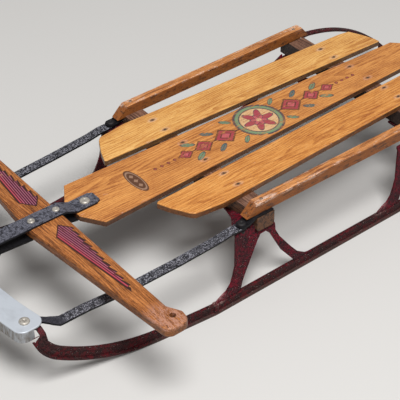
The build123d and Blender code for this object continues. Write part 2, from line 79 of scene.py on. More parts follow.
Colour = tuple[float, float, float]
Place = tuple[float, float, float]
Span = tuple[float, float]
Mark = tuple[float, float, float]
Profile = Sequence[Span]


def shade(red: float, green: float, blue: float) -> Colour:
    """Turns a colour as a screen shows it, 0 to 255, into the linear one a shader takes.

    Args:
        red: Red from 0 to 255.
        green: Green from 0 to 255.
        blue: Blue from 0 to 255.

    Returns:
        The linear colour.
    """
    parts = [level / 255 for level in (red, green, blue)]
    linear = [p / 12.92 if p <= 0.04045 else ((p + 0.055) / 1.055) ** 2.4 for p in parts]
    return linear[0], linear[1], linear[2]


# ------------------------------------------------------------------ shader maths


class Field:
    """One socket of a recipe, on which plain arithmetic adds Math nodes."""

    def __init__(self, recipe: "Recipe", socket: bpy.types.NodeSocket) -> None:
        """Keeps the socket and the recipe that it belongs to."""
        self.recipe = recipe
        self.socket = socket

    def _math(self, operation: str, *terms: "Term") -> "Field":
        """Adds one Math node and returns its result."""
        return self.recipe.node("ShaderNodeMath", {"operation": operation}, dict(enumerate(terms)))

    def __add__(self, other: "Term") -> "Field":
        """Sum."""
        return self._math("ADD", self, other)

    __radd__ = __add__

    def __sub__(self, other: "Term") -> "Field":
        """Difference."""
        return self._math("SUBTRACT", self, other)

    def __rsub__(self, other: "Term") -> "Field":
        """Difference from a number."""
        return self._math("SUBTRACT", other, self)

    def __mul__(self, other: "Term") -> "Field":
        """Product."""
        return self._math("MULTIPLY", self, other)

    __rmul__ = __mul__

    def __truediv__(self, other: "Term") -> "Field":
        """Quotient."""
        return self._math("DIVIDE", self, other)

    def __rtruediv__(self, other: "Term") -> "Field":
        """A number divided by this."""
        return self._math("DIVIDE", other, self)

    def __pow__(self, other: "Term") -> "Field":
        """Power."""
        return self._math("POWER", self, other)

    def __rpow__(self, other: "Term") -> "Field":
        """A number to this power."""
        return self._math("POWER", other, self)

    def __abs__(self) -> "Field":
        """Size without sign."""
        return self._math("ABSOLUTE", self)

    def __mod__(self, other: "Term") -> "Field":
        """Remainder, from 0 up to the divisor."""
        return self._math("FLOORED_MODULO", self, other)

    def __rmod__(self, other: "Term") -> "Field":
        """Remainder of a number divided by this."""
        return self._math("FLOORED_MODULO", other, self)

    def __or__(self, other: "Term") -> "Field":
        """The larger of two, which joins two masks."""
        return self._math("MAXIMUM", self, other)

    __ror__ = __or__

    def __and__(self, other: "Term") -> "Field":
        """The smaller of two, which keeps what two masks share."""
        return self._math("MINIMUM", self, other)

    __rand__ = __and__

    def sine(self) -> "Field":
        """Sine of the value in radians."""
        return self._math("SINE", self)

    def angle(self, across: "Field") -> "Field":
        """Angle of the point (across, self) in radians."""
        return self._math("ARCTAN2", self, across)

    def length(self, across: "Field") -> "Field":
        """Distance of the point (across, self) from nought."""
        return (self ** 2.0 + across ** 2.0) ** 0.5

    def smooth(self, start: float, end: float) -> "Field":
        """Rises smoothly from 0 at start to 1 at end, or falls where end is the lower.

        Args:
            start: Value at which the result is 0.
            end: Value at which the result is 1.

        Returns:
            The result, never outside 0 to 1.
        """
        low, high = sorted((start, end))
        rise = self.recipe.node("ShaderNodeMapRange", {"interpolation_type": "SMOOTHSTEP"},
                                {"Value": self, "From Min": low, "From Max": high})
        return rise if end > start else 1 - rise

    def mark(self, start: float, end: float, share: float) -> "Field":
        """A smooth rise from start to end, up to a share in place of 1."""
        return self.smooth(start, end) * share

    def band(self, centre: float, half: float, soft: float) -> "Field":
        """A mask of 1 within half of the centre, with soft edges.

        Args:
            centre: Middle of the band.
            half: Half of its width.
            soft: How far its edges fade.

        Returns:
            The mask.
        """
        return abs(self - centre).smooth(half + soft, half - soft)


Term = Union[Field, float, Colour, tuple[float, ...]]


def weigh(fields: Sequence[Field], weights: Sequence[float]) -> Field:
    """Adds fields up, each by its weight."""
    first, *rest = [field * weight for field, weight in zip(fields, weights)]
    return sum(rest, first)


@dataclass(frozen=True)
class Noise:
    """Cloudy noise: cycles per millimetre on each axis, finer layers, their strength and its seed."""

    size: Place
    detail: float
    roughness: float
    seed: float = 0.0


class Recipe:
    """The node tree of a material or a world, filled one expression at a time."""

    seed_step: Place = (7.3, 3.1, 5.7)

    def __init__(self, owner: Union[bpy.types.Material, bpy.types.World]) -> None:
        """Starts with an empty tree.

        Args:
            owner: The new material or world.
        """
        self.owner = owner
        owner.use_nodes = True
        self.tree = owner.node_tree
        self.tree.nodes.clear()

    def node(self, kind: str, settings: Optional[dict[str, object]] = None,
             values: Optional[dict[Union[int, str], "Term"]] = None, output: Union[int, str] = 0) -> Field:
        """Adds a node of any type.

        Args:
            kind: The node's type.
            settings: Its properties, which are set first; "stops" are a ramp's places and colours.
            values: What its sockets hold or are linked to, by number or name.
            output: The output that the result stands for.

        Returns:
            That output as a field.
        """
        made = self.tree.nodes.new(kind)
        for name, value in (settings or {}).items():
            if name == "stops":
                self._set_stops(made.color_ramp.elements, value)
            else:
                setattr(made, name, value)
        for key, value in (values or {}).items():
            if isinstance(value, Field):
                self.tree.links.new(value.socket, made.inputs[key])
            else:
                made.inputs[key].default_value = value
        return Field(self, made.outputs[output])

    @staticmethod
    def _set_stops(elements: bpy.types.bpy_prop_collection, stops: Sequence[tuple[float, Colour]]) -> None:
        """Gives a ramp its stops.

        Args:
            elements: The ramp's elements.
            stops: Place and colour of each stop.
        """
        while len(elements) < len(stops):
            elements.new(1.0)
        for element, (place, colour) in zip(elements, stops):
            element.position = place
            element.color = (*colour, 1.0)

    def place(self) -> tuple[Field, Field, Field]:
        """Reads the shaded point's own place.

        Returns:
            Its x, y and z in millimetres.
        """
        raw = self.node("ShaderNodeTexCoord", output="Object")
        scaled = self.node("ShaderNodeVectorMath", {"operation": "SCALE"}, {0: raw, "Scale": 1 / MM})
        parts = [self.node("ShaderNodeSeparateXYZ", values={0: scaled}, output=i) for i in range(3)]
        return parts[0], parts[1], parts[2]

    def noise(self, point: Sequence[Field], kind: Noise, seed: float = 0.0) -> Field:
        """Cloudy noise from 0 to 1.

        Args:
            point: The place in millimetres.
            kind: The noise's size and detail.
            seed: Added to the noise's own, so that pieces differ.

        Returns:
            The noise.
        """
        stretched = dict(enumerate(at * size for at, size in zip(point, kind.size)))
        joined = self.node("ShaderNodeCombineXYZ", values=stretched)
        shift = tuple((seed + kind.seed) * step for step in self.seed_step)
        moved = self.node("ShaderNodeVectorMath", {"operation": "ADD"}, {0: joined, 1: shift})
        return self.node("ShaderNodeTexNoise", None, {"Vector": moved, "Scale": 1.0, "Detail": kind.detail,
                                                      "Roughness": kind.roughness})

    def ray(self, kind: str) -> Field:
        """1 for a ray of that kind, Camera, Glossy or Transmission, and 0 for others."""
        return self.node("ShaderNodeLightPath", output=f"Is {kind} Ray")

    def mix(self, under: "Term", over: "Term", share: "Term") -> Field:
        """Lays one colour over another.

        Args:
            under: Colour shown where share is 0.
            over: Colour shown where share is 1.
            share: How much of the upper colour shows.

        Returns:
            The mixed colour.
        """
        pair = [c if isinstance(c, Field) else (*c, 1.0) for c in (under, over)]
        return self.node("ShaderNodeMix", {"data_type": "RGBA", "clamp_factor": True},
                         {0: share, 6: pair[0], 7: pair[1]}, 2)

    def ramp(self, value: Field, stops: Sequence[tuple[float, Colour]]) -> Field:
        """Turns a value into a colour by stops."""
        return self.node("ShaderNodeValToRGB", {"stops": stops}, {0: value})

    def surface(self, base: Field, roughness: "Term", height: Field, depth: float,
                **fixed: float) -> bpy.types.Material:
        """Ends a material's recipe with one shader.

        Args:
            base: Base colour.
            roughness: Roughness.
            height: Relief that feeds a bump.
            depth: Height of the relief in millimetres.
            **fixed: The shader's other sockets by name, with _ for a space.

        Returns:
            The finished material.
        """
        bump = self.node("ShaderNodeBump", None, {"Strength": 1.0, "Distance": depth * MM, "Height": height})
        values: dict[Union[int, str], Term] = {"Base Color": base, "Roughness": roughness, "Normal": bump}
        values.update({name.replace("_", " "): value for name, value in fixed.items()})
        self.end(self.node("ShaderNodeBsdfPrincipled", None, values))
        return self.owner

    def end(self, shader: Field, output: str = "ShaderNodeOutputMaterial") -> None:
        """Links a shader to the tree's output."""
        last = self.tree.nodes.new(output)
        self.tree.links.new(shader.socket, last.inputs["Surface"])


# ------------------------------------------------------------------ ornament

CRIMSON = shade(176, 62, 78)
ROSE = shade(206, 98, 104)
LEAF = shade(118, 152, 116)
MOSS = shade(84, 116, 112)
INK = shade(66, 66, 78)
CREAM = shade(226, 186, 138)
UMBER = shade(86, 50, 40)


@dataclass(frozen=True)
class DeckOrnament:
    """A plain star medallion between lozenges and leaves, worn thin, along the centre slat.

    A lozenge is its place and half sizes, and a leaf its place, distance from the middle and slope.
    Rings are distance from the disc, half width and colour. Star layers are how far the points
    swell, the radii where the layer starts and is full, and colour. A stamp lies ahead of them.
    """

    middle_x: float = -40.0
    disc_r: float = 31.0
    disc_edge: Span = (1.1, 0.5)
    heart_r: Span = (4.6, 3.8)
    points: int = 6
    star: tuple[tuple[float, float, float, Colour], ...] = (
        (7.5, 21.5, 20.3, INK), (7.5, 19.4, 18.4, CRIMSON), (-3.5, 11.5, 10.5, INK), (-3.5, 9.8, 8.8, ROSE))
    rings: tuple[tuple[float, float, Colour], ...] = ((7.0, 2.8, INK), (3.0, 3.2, LEAF))
    ring_soft: float = 0.6
    lozenges: tuple[Place, ...] = ((66.0, 22.0, 19.0), (108.0, 18.0, 15.0), (142.0, 14.0, 11.0))
    lozenge_steps: tuple[tuple[float, float, Colour], ...] = (
        (1.06, 0.98, UMBER), (0.86, 0.78, CRIMSON), (0.56, 0.48, UMBER), (0.42, 0.34, ROSE))
    leaves: tuple[Place, ...] = ((46.0, 27.0, 0.9), (87.0, 21.0, 0.7), (126.0, 17.0, 0.6))
    leaf_paints: tuple[Colour, ...] = (LEAF, MOSS, LEAF)
    leaf_half: Span = (13.0, 5.0)
    leaf_edge: Span = (1.12, 1.02)
    leaf_fill: Span = (0.9, 0.8)
    leaf_vein: Span = (0.16, 0.06)
    stem_from: float = 40.0
    stem_half: Span = (1.6, 0.9)
    stem_soft: float = 0.5
    tail_from: float = 157.0
    tail_to: float = 206.0
    dot_pitch: float = 12.0
    dot_edge: Span = (3.4, 2.6)
    dot_fill: Span = (1.8, 1.2)
    stamp_at: Span = (197.5, 4.5)
    stamp_half: Span = (10.4, 29.0)
    stamp_fill: Mark = (1.02, 0.95, 0.94)
    stamp_line: Mark = (0.8, 0.06, 0.04)
    stamp_share: float = 0.8
    stamp_paint: Colour = shade(80, 50, 36)
    line_paint: Colour = shade(172, 136, 112)
    stone_paint: Colour = shade(166, 130, 106)
    stone_pitch: float = 12.0
    stone_half: Span = (3.8, 4.6)
    stone_fill: Span = (1.1, 0.8)
    stone_within: Span = (0.66, 0.6)

    def lay(self, recipe: Recipe, base: Field, x: Field, y: Field, wear: Field) -> Field:
        """Paints the ornament over the wood.

        Args:
            recipe: The wood's recipe.
            base: Colour of the wood.
            x: Place along the slat.
            y: Place across the slat.
            wear: 1 where the paint holds and 0 where it has gone.

        Returns:
            The colour with the ornament on it.
        """
        along, across = abs(x - self.middle_x), abs(y)
        layers = self._foliage(along, across) + self._medallion(x, y)
        for centre, long, wide in self.lozenges:
            far = abs(along - centre) / long + across / wide
            layers += [(far.smooth(start, full), paint) for start, full, paint in self.lozenge_steps]
        dots = ((along - self.tail_from) % self.dot_pitch - self.dot_pitch / 2).length(y)
        tail = along.smooth(self.tail_from, self.tail_from + 1) * along.smooth(self.tail_to, self.tail_to - 1)
        layers += [(dots.smooth(*self.dot_edge) * tail, UMBER), (dots.smooth(*self.dot_fill) * tail, CRIMSON)]
        colour = base
        for mask, paint in layers:
            colour = recipe.mix(colour, paint, mask * wear)
        return self._stamp(recipe, colour, x, y)

    def _foliage(self, along: Field, across: Field) -> list[tuple[Field, Colour]]:
        """Draws the leaves and the stem between the lozenges.

        Args:
            along: Distance from the medallion's middle along the slat.
            across: Distance from it across the slat.

        Returns:
            Masks and their colours, the lowest first.
        """
        layers: list[tuple[Field, Colour]] = []
        for (at, off, lean), paint in zip(self.leaves, self.leaf_paints):
            step, rise = along - at, across - off
            long, wide = (step + rise * lean) / self.leaf_half[0], (rise - step * lean) / self.leaf_half[1]
            far = long.length(wide)
            fill = far.smooth(*self.leaf_fill)
            layers += [(far.smooth(*self.leaf_edge), INK), (fill, paint),
                       (abs(wide).smooth(*self.leaf_vein) * fill, INK)]
        stem = along.band((self.tail_from + self.stem_from) / 2, (self.tail_from - self.stem_from) / 2,
                          self.stem_soft)
        return layers + [(across.smooth(*self.stem_half) * stem, UMBER)]

    def _medallion(self, x: Field, y: Field) -> list[tuple[Field, Colour]]:
        """Draws the ringed disc with its star.

        Args:
            x: Place along the slat.
            y: Place across the slat.

        Returns:
            Masks and their colours, the lowest first.
        """
        radius = (x - self.middle_x).length(y)
        petal = (y.angle(x - self.middle_x) * float(self.points) + math.pi / 2).sine()
        layers = [(radius.band(self.disc_r + out, half, self.ring_soft), paint) for out, half, paint in self.rings]
        layers += [(radius.smooth(self.disc_r + 1.0, self.disc_r), CREAM),
                   (radius.band(self.disc_r, *self.disc_edge), INK)]
        layers += [((radius - petal * swell).smooth(start, full), paint) for swell, start, full, paint in self.star]
        return layers + [(radius.smooth(*self.heart_r), CREAM)]

    def _stamp(self, recipe: Recipe, base: Field, x: Field, y: Field) -> Field:
        """Lays the dark oval with its plain dots.

        Args:
            recipe: The wood's recipe.
            base: The colour so far.
            x: Place along the slat.
            y: Place across the slat.

        Returns:
            The colour with the stamp on it.
        """
        step, rise = x - self.stamp_at[0], y - self.stamp_at[1]
        oval = (step / self.stamp_half[0]).length(rise / self.stamp_half[1])
        colour = recipe.mix(base, self.stamp_paint, oval.mark(*self.stamp_fill))
        colour = recipe.mix(colour, self.line_paint, oval.band(*self.stamp_line) * self.stamp_share)
        row = (rise + self.stone_pitch * 3.5) % self.stone_pitch - self.stone_pitch / 2
        stone = abs(step) / self.stone_half[0] + abs(row) / self.stone_half[1]
        inside = stone.smooth(*self.stone_fill) * oval.smooth(*self.stone_within)
        return recipe.mix(colour, self.stone_paint, inside * self.stamp_share)


@dataclass(frozen=True)
class BarWedges:
    """The long stepped wedges, striped lengthwise, on each half of the steering bar.

    A stripe is its colour, its middle, half width and softness as shares of the pitch, and its share.
    """

    inner: float = 25.5
    nose_x: float = 346.0
    nose_slope: float = 1.3
    tip: float = 197.0
    tip_slope: float = 1.4
    tip_share: float = 0.6
    front_x: float = 367.6
    front_slope: float = 0.105
    rear_x: float = 330.0
    rear_slope: float = 0.052
    step: float = 15.5
    rise: float = 4.2
    edge: Span = (-0.7, 0.3)
    outline: Span = (2.9, 2.2)
    pitch: float = 3.3
    stripes_from: Span = (3.0, 4.5)
    stripes: tuple[tuple[Colour, float, float, float, float], ...] = (
        (shade(214, 150, 176), 0.14, 0.1, 0.08, 0.6), (shade(38, 12, 32), 0.6, 0.2, 0.1, 1.0))
    fade: Span = (12.0, 2.0)
    rear_paint: Colour = shade(122, 34, 66)
    front_paint: Colour = shade(182, 46, 66)
    outline_paint: Colour = shade(40, 16, 24)

    def lay(self, recipe: Recipe, base: Field, x: Field, y: Field, wear: Field) -> Field:
        """Paints both wedges over the wood.

        Args:
            recipe: The wood's recipe.
            base: Colour of the wood.
            x: Place across the bar.
            y: Place along the bar.
            wear: 1 where the paint holds and 0 where it has gone.

        Returns:
            The colour with the wedges on it.
        """
        out = abs(y)
        front = (self.front_x - out * self.front_slope) - x
        notch = ((out % self.step) / self.step) * self.rise
        rear = x - (self.rear_x + out * self.rear_slope + self.rise - notch)
        nose = (out - self.inner) - abs(x - self.nose_x) * self.nose_slope
        blunt = (self.tip - out - front * self.tip_slope) * self.tip_share
        depth = (front & rear) & (nose & blunt)
        place = (front / self.pitch) % 1.0
        inner = front.smooth(*self.stripes_from)
        body = recipe.mix(self.rear_paint, self.front_paint, front.smooth(*self.fade))
        for paint, middle, half, soft, share in self.stripes:
            body = recipe.mix(body, paint, place.band(middle, half, soft) * inner * share)
        body = recipe.mix(body, self.outline_paint, depth.smooth(*self.outline))
        return recipe.mix(base, body, depth.smooth(*self.edge) * wear)


# ------------------------------------------------------------------ finishes

# Middle value of a noise
MEAN = 0.5

# Noises of the wood: along the grain, across it and upwards
DRIFT = Noise((0.007, 0.03, 0.03), 2, 0.5)
FIBRE = Noise((0.03, 0.9, 0.9), 3, 0.65, 1)
FINE = Noise((0.16, 2.6, 2.6), 2, 0.6, 2)
BLOTCH = Noise((0.012, 0.035, 0.03), 3, 0.55, 3)
SPECK = Noise((0.35, 0.8, 0.8), 3, 0.65, 4)
SCUFF = Noise((0.05, 0.16, 0.2), 4, 0.7, 5)
STREAK = Noise((0.014, 0.4, 0.4), 4, 0.65, 6)
SOOT = Noise((0.09, 0.2, 0.2), 4, 0.7, 8)


class Run(Enum):
    """The way that the grain of a piece of wood runs."""

    LENGTHWISE = 0
    CROSSWISE = 1


@dataclass(frozen=True)
class Timber:
    """Old varnished softwood: growth rings, fibres, worn edges, stains, and painted shade on its sides.

    Places are along the grain and across it. An edge is its distance from the middle and its
    slope, a stain is round a screw, and a rub is a pale spot with its half sizes, worn, and on the
    rails partly a painted highlight. A span is where a mark starts and where it is full, and a mark has its share
    after them.
    """

    name: str
    pale: Colour
    body: Colour
    dark: Colour
    # side is the painted shade of the side faces; deep darkens that shade with grime and also colours dark specks
    side: Colour
    deep_grime_and_shade: Colour
    worn: Colour
    top: float
    run: Run = Run.LENGTHWISE
    heart: float = 0.0
    heart_up: float = 18.0
    rings: float = 0.3
    slope: float = 0.025
    wander: float = 9.0
    late_rise: Span = (0.25, 0.85)
    late_fall: Span = (1.0, 0.93)
    contrast: float = 1.7
    ring_tone: Span = (0.26, 0.8)
    fibre_tone: Span = (0.9, 0.6)
    stops: Place = (0.12, 0.48, 0.9)
    streaks: float = 0.5
    dark_streak: Span = (0.54, 0.66)
    pale_streak: Mark = (0.42, 0.34, 0.7)
    dark_speck: Mark = (0.6, 0.7, 0.6)
    deep_speck: Mark = (0.71, 0.76, 0.5)
    pale_speck: Mark = (0.4, 0.31, 0.35)
    side_shade_from: Span = (0.8, 2.2)
    side_shade_share: float = 0.9
    grimy: float = 0.46
    grime_soft: float = 0.1
    grime_mix: Span = (0.6, 0.4)
    edges: tuple[Span, ...] = ()
    edge_wear: float = 0.5
    edge_wide: Span = (3.6, 0.4)
    edge_rough: Place = (0.72, 0.84, 0.3)
    edge_mix: Place = (1.0, 0.7, 0.7)
    scuffs: Mark = (0.66, 0.74, 0.55)
    rubs_and_highlights: tuple[tuple[float, float, float, float], ...] = ()
    rub_edge: Mark = (1.2, 0.5, 0.85)
    rub_rough: Span = (0.42, 0.58)
    rub_mix: Place = (1.0, 1.0, 0.5)
    stains: tuple[Span, ...] = ()
    stain_long: float = 0.3
    stain_ring: Mark = (6.5, 3.0, 0.7)
    stain_rust: Mark = (3.4, 2.0, 0.8)
    ring_specks: Span = (0.38, 0.6)
    rust_specks: Span = (0.3, 0.55)
    rust: Colour = shade(84, 54, 42)
    paint_hold: float = 0.0
    paint_scuffs: Span = (0.68, 0.56)
    paint_fibres: Span = (0.86, 0.7)
    paint_speck: float = 0.4
    paint_share: float = 0.95
    paint_from: Span = (1.6, 0.6)
    relief: tuple[float, ...] = (0.35, 0.9, 0.5, -0.6)
    relief_depth: float = 0.22
    gloss: float = 0.36
    dulling: Place = (0.16, 0.25, 0.12)
    seed: float = 0.0

    def make(self, ornament: Optional[Union[DeckOrnament, BarWedges]] = None) -> bpy.types.Material:
        """Builds the wood's material.

        Args:
            ornament: What is painted on the wood, or None.

        Returns:
            The material.
        """
        r = Recipe(bpy.data.materials.new(self.name))
        x, y, z = r.place()
        u, v = (x, y) if self.run is Run.LENGTHWISE else (y, x)
        spot = (u, v, z)
        fibre, fine, streak, speck, soot, scuff = [
            r.noise(spot, kind, self.seed) for kind in (FIBRE, FINE, STREAK, SPECK, SOOT, SCUFF)]
        late = self._late_wood(r, u, v, z)
        tone = weigh((late, r.noise(spot, BLOTCH, self.seed)), self.ring_tone)
        tone = tone + weigh((fibre - MEAN, fine - MEAN), self.fibre_tone) * self.contrast
        colour = r.ramp(tone, tuple(zip(self.stops, (self.pale, self.body, self.dark))))
        colour = r.mix(colour, self.dark, streak.smooth(*self.dark_streak) * self.streaks)
        colour = r.mix(colour, self.pale, streak.mark(*self.pale_streak) * self.streaks)
        # Side faces below the top take painted shade, mottled with grime
        low = z.smooth(*(self.top - down for down in self.side_shade_from))
        dirty = weigh((soot, fibre), self.grime_mix).smooth(self.grimy, self.grimy + self.grime_soft)
        colour = r.mix(colour, r.mix(self.side, self.deep_grime_and_shade, dirty), low * self.side_shade_share)
        for paint, mark in ((self.dark, self.dark_speck), (self.deep_grime_and_shade, self.deep_speck),
                            (self.pale, self.pale_speck)):
            colour = r.mix(colour, paint, speck.mark(*mark))
        if ornament is not None:
            hold = (scuff - self.paint_hold).smooth(*self.paint_scuffs)
            hold = hold * (fibre + speck * self.paint_speck - self.paint_hold).smooth(*self.paint_fibres)
            upper = z.smooth(*(self.top - down for down in self.paint_from))
            colour = ornament.lay(r, colour, x, y, hold * upper * self.paint_share)
        bare = self._bare(u, v, z, (scuff, fine, speck))
        colour = r.mix(colour, self.worn, bare)
        for at_u, at_v in self.stains:
            near = ((u - at_u) ** 2.0 * self.stain_long + (abs(v) - at_v) ** 2.0) ** 0.5
            colour = r.mix(colour, self.worn, near.mark(*self.stain_ring) * speck.smooth(*self.ring_specks))
            colour = r.mix(colour, self.rust, near.mark(*self.stain_rust) * speck.smooth(*self.rust_specks))
        height = weigh((late, fibre, fine, bare), self.relief)
        rough = self.gloss + weigh((fine, bare, low), self.dulling)
        return r.surface(colour, rough, height, self.relief_depth, Coat_Weight=0.18, Coat_Roughness=0.25,
                         Specular_IOR_Level=0.45)

    def _late_wood(self, r: Recipe, u: Field, v: Field, z: Field) -> Field:
        """Draws the dark late wood of the growth rings.

        Args:
            r: The wood's recipe.
            u: Place along the grain.
            v: Place across it.
            z: Height.

        Returns:
            0 in early wood, rising to 1 at each ring's edge.
        """
        drift = r.noise((u, v, z), DRIFT, self.seed) - MEAN
        reach = (v - self.heart).length(z - (self.top + self.heart_up))
        ring = ((reach + u * self.slope + drift * self.wander * 2) * self.rings) % 1.0
        return ring.smooth(*self.late_rise) * ring.smooth(*self.late_fall)

    def _bare(self, u: Field, v: Field, z: Field, noises: tuple[Field, Field, Field]) -> Field:
        """Finds where the varnish has gone: scuffs, rubbed spots and worn edges; on the rails some rubbed spots are
        painted highlight.

        Args:
            u: Place along the grain.
            v: Place across it.
            z: Height.
            noises: The scuffs, the fine grain and the specks.

        Returns:
            1 where the wood is bare and 0 where the varnish holds.
        """
        scuff, fine, speck = noises
        bare = scuff.mark(*self.scuffs)
        rough = weigh((scuff, speck - MEAN, fine - MEAN), self.rub_mix).smooth(*self.rub_rough)
        rough = rough * z.smooth(self.top - 6, self.top - 3)
        # On the rails some rubs paint a pale highlight in the worn colour
        for at_u, at_v, long, wide in self.rubs_and_highlights:
            near = ((u - at_u) / long).length((abs(v) - at_v) / wide)
            bare = bare | near.mark(*self.rub_edge) * rough
        start, full, gain = self.edge_rough
        shift = self.edge_wear * gain
        ragged = weigh((scuff, fine - MEAN, speck - MEAN), self.edge_mix).smooth(start - shift, full - shift)
        ragged = ragged * z.smooth(self.top - 4, self.top - 1)
        for distance, lean in self.edges:
            bare = bare | abs(abs(v) - (distance + u * lean)).smooth(*self.edge_wide) * ragged
        return bare


@dataclass(frozen=True)
class ChippedPaint:
    """Old gloss paint over steel, mottled, with chips down to the metal and dirt low down.

    A spot is a place along the sled, a height and a radius within which the paint is worn off.
    """

    name: str
    body: Colour
    dull: Colour
    dark: Colour
    chip: Colour
    chips: float = 0.7
    bloom: float = 0.25
    grain: float = 0.35
    spots: tuple[Place, ...] = ()
    seed: float = 0.0
    cloud: Noise = Noise((0.05, 0.05, 0.05), 4, 0.6)
    mottle: Noise = Noise((0.28, 0.28, 0.28), 4, 0.65, 1)
    grit: Noise = Noise((0.9, 0.9, 0.9), 3, 0.6, 2)
    faded: Span = (0.38, 0.6)
    mottled: Mark = (0.45, 0.56, 0.95)
    grained: Span = (0.52, 0.38)
    bloomed: Span = (0.56, 0.7)
    bloom_mix: Span = (0.7, 0.3)
    rub_mix: Span = (0.5, 0.5)
    chip_soft: Span = (0.06, 0.02)
    spot_full: float = 0.4
    spot_rub: Span = (0.47, 0.56)
    dirt: Colour = shade(92, 78, 72)
    dirt_share: float = 0.7
    dirt_below: Span = (6.0, 1.0)
    relief: Place = (0.4, 0.3, -0.8)
    gloss: float = 0.46
    dulling: Place = (0.25, 0.15, 0.1)

    def make(self) -> bpy.types.Material:
        """Builds the paint's material.

        Returns:
            The material.
        """
        r = Recipe(bpy.data.materials.new(self.name))
        x, y, z = r.place()
        cloud, mottle, grit = [r.noise((x, y, z), kind, self.seed) for kind in (self.cloud, self.mottle, self.grit)]
        colour = r.mix(self.dull, self.body, cloud.smooth(*self.faded))
        colour = r.mix(colour, self.dark, mottle.mark(*self.mottled))
        colour = r.mix(colour, self.dark, grit.smooth(*self.grained) * self.grain)
        bloom = weigh((grit, mottle), self.bloom_mix).smooth(*self.bloomed)
        colour = r.mix(colour, self.chip, bloom * self.bloom)
        rub = weigh((mottle, grit), self.rub_mix)
        chips = rub.smooth(*(self.chips - below for below in self.chip_soft))
        for at_x, at_z, size in self.spots:
            near = (x - at_x).length(z - at_z).smooth(size, size * self.spot_full)
            chips = chips | near * rub.smooth(*self.spot_rub)
        foot = z.smooth(*self.dirt_below)
        colour = r.mix(colour, self.dirt, foot * self.dirt_share)
        colour = r.mix(colour, self.chip, chips)
        rough = self.gloss + weigh((grit, chips, foot), self.dulling)
        height = weigh((mottle, grit, chips), self.relief)
        return r.surface(colour, rough, height, 0.18, Specular_IOR_Level=0.16)


@dataclass(frozen=True)
class BlackedStrap:
    """Blacked strap steel rubbed to a fine grey speckle on its flat, near black on its edges: the steel's black,
    with painted shade on the faces that look sideways.

    Ahead of plain_x the flat is smooth and plain.
    """

    name: str
    body: Colour
    fleck: Colour
    dark: Colour
    flecks: float
    plain_x: float = 2000.0
    seed: float = 0.0
    cloud: Noise = Noise((0.04, 0.04, 0.04), 3, 0.6)
    grit: Noise = Noise((0.6, 0.6, 0.6), 3, 0.75, 1)
    pits: Noise = Noise((0.2, 0.2, 0.2), 4, 0.7, 2)
    fleck_soft: Span = (-0.04, 0.1)
    fleck_share: Span = (0.55, 0.7)
    pitted: Mark = (0.5, 0.6, 0.8)
    plain_soft: float = 8.0
    plain_share: float = 0.85
    flat_from: Span = (0.5, 0.8)
    relief: Span = (0.6, 0.5)
    gloss: float = 0.42
    dulling: float = 0.3

    def make(self) -> bpy.types.Material:
        """Builds the strap's material.

        Returns:
            The material.
        """
        r = Recipe(bpy.data.materials.new(self.name))
        x, y, z = r.place()
        cloud, grit, pits = [r.noise((x, y, z), kind, self.seed) for kind in (self.cloud, self.grit, self.pits)]
        up = r.node("ShaderNodeSeparateXYZ", None, {0: r.node("ShaderNodeNewGeometry", output="Normal")}, 2)
        flecks = grit.smooth(*(self.flecks + beyond for beyond in self.fleck_soft))
        least, more = self.fleck_share
        colour = r.mix(self.body, self.fleck, flecks * (least + cloud * more))
        colour = r.mix(colour, self.dark, pits.mark(*self.pitted))
        colour = r.mix(colour, self.body, x.mark(self.plain_x, self.plain_x + self.plain_soft, self.plain_share))
        # Faces that look sideways get the dark colour: the strap's black, with painted shade
        colour = r.mix(self.dark, colour, abs(up).smooth(*self.flat_from))
        rough = self.gloss + grit * self.dulling
        return r.surface(colour, rough, weigh((grit, pits), self.relief), 0.15, Metallic=0.25,
                         Specular_IOR_Level=0.3)


@dataclass(frozen=True)
class SilverPaint:
    """Smooth silver paint on the bumper, its skirt painted darker as shade, with grime and rust down it."""

    name: str = "silver_paint"
    body: Colour = shade(205, 211, 219)
    soft: Colour = shade(186, 191, 198)
    grime_and_shade: Colour = shade(128, 122, 114)
    rust: Colour = shade(110, 82, 62)
    skirt: Span = (111.0, 109.4)
    cloud: Noise = Noise((0.05, 0.03, 0.05), 4, 0.6, 3)
    streak: Noise = Noise((0.2, 0.25, 0.05), 4, 0.65, 4)
    grit: Noise = Noise((0.7, 0.7, 0.7), 3, 0.6, 5)
    clouded: Mark = (0.45, 0.7, 0.6)
    gritty: Mark = (0.62, 0.72, 0.3)
    skirt_shade: float = 0.35
    grimy: Mark = (0.35, 0.65, 0.55)
    rusty: Mark = (0.58, 0.7, 0.8)
    rust_grit: Span = (0.4, 0.6)
    gloss: float = 0.34
    dulling: Span = (0.14, 0.2)
    relief: Span = (0.3, 1.0)

    def make(self) -> bpy.types.Material:
        """Builds the bumper's material.

        Returns:
            The material.
        """
        r = Recipe(bpy.data.materials.new(self.name))
        x, y, z = r.place()
        cloud, streak, grit = [r.noise((x, y, z), kind) for kind in (self.cloud, self.streak, self.grit)]
        colour = r.mix(self.body, self.soft, cloud.mark(*self.clouded) + grit.mark(*self.gritty))
        low = z.smooth(*self.skirt)
        # The whole skirt is painted darker as shade, and grime is mottled over it
        colour = r.mix(colour, self.grime_and_shade, low * (self.skirt_shade + streak.mark(*self.grimy)))
        colour = r.mix(colour, self.rust, low * streak.mark(*self.rusty) * grit.smooth(*self.rust_grit))
        rough = self.gloss + weigh((grit, low), self.dulling)
        return r.surface(colour, rough, weigh((grit, streak * low), self.relief), 0.12, Metallic=0.25,
                         Coat_Weight=0.1)


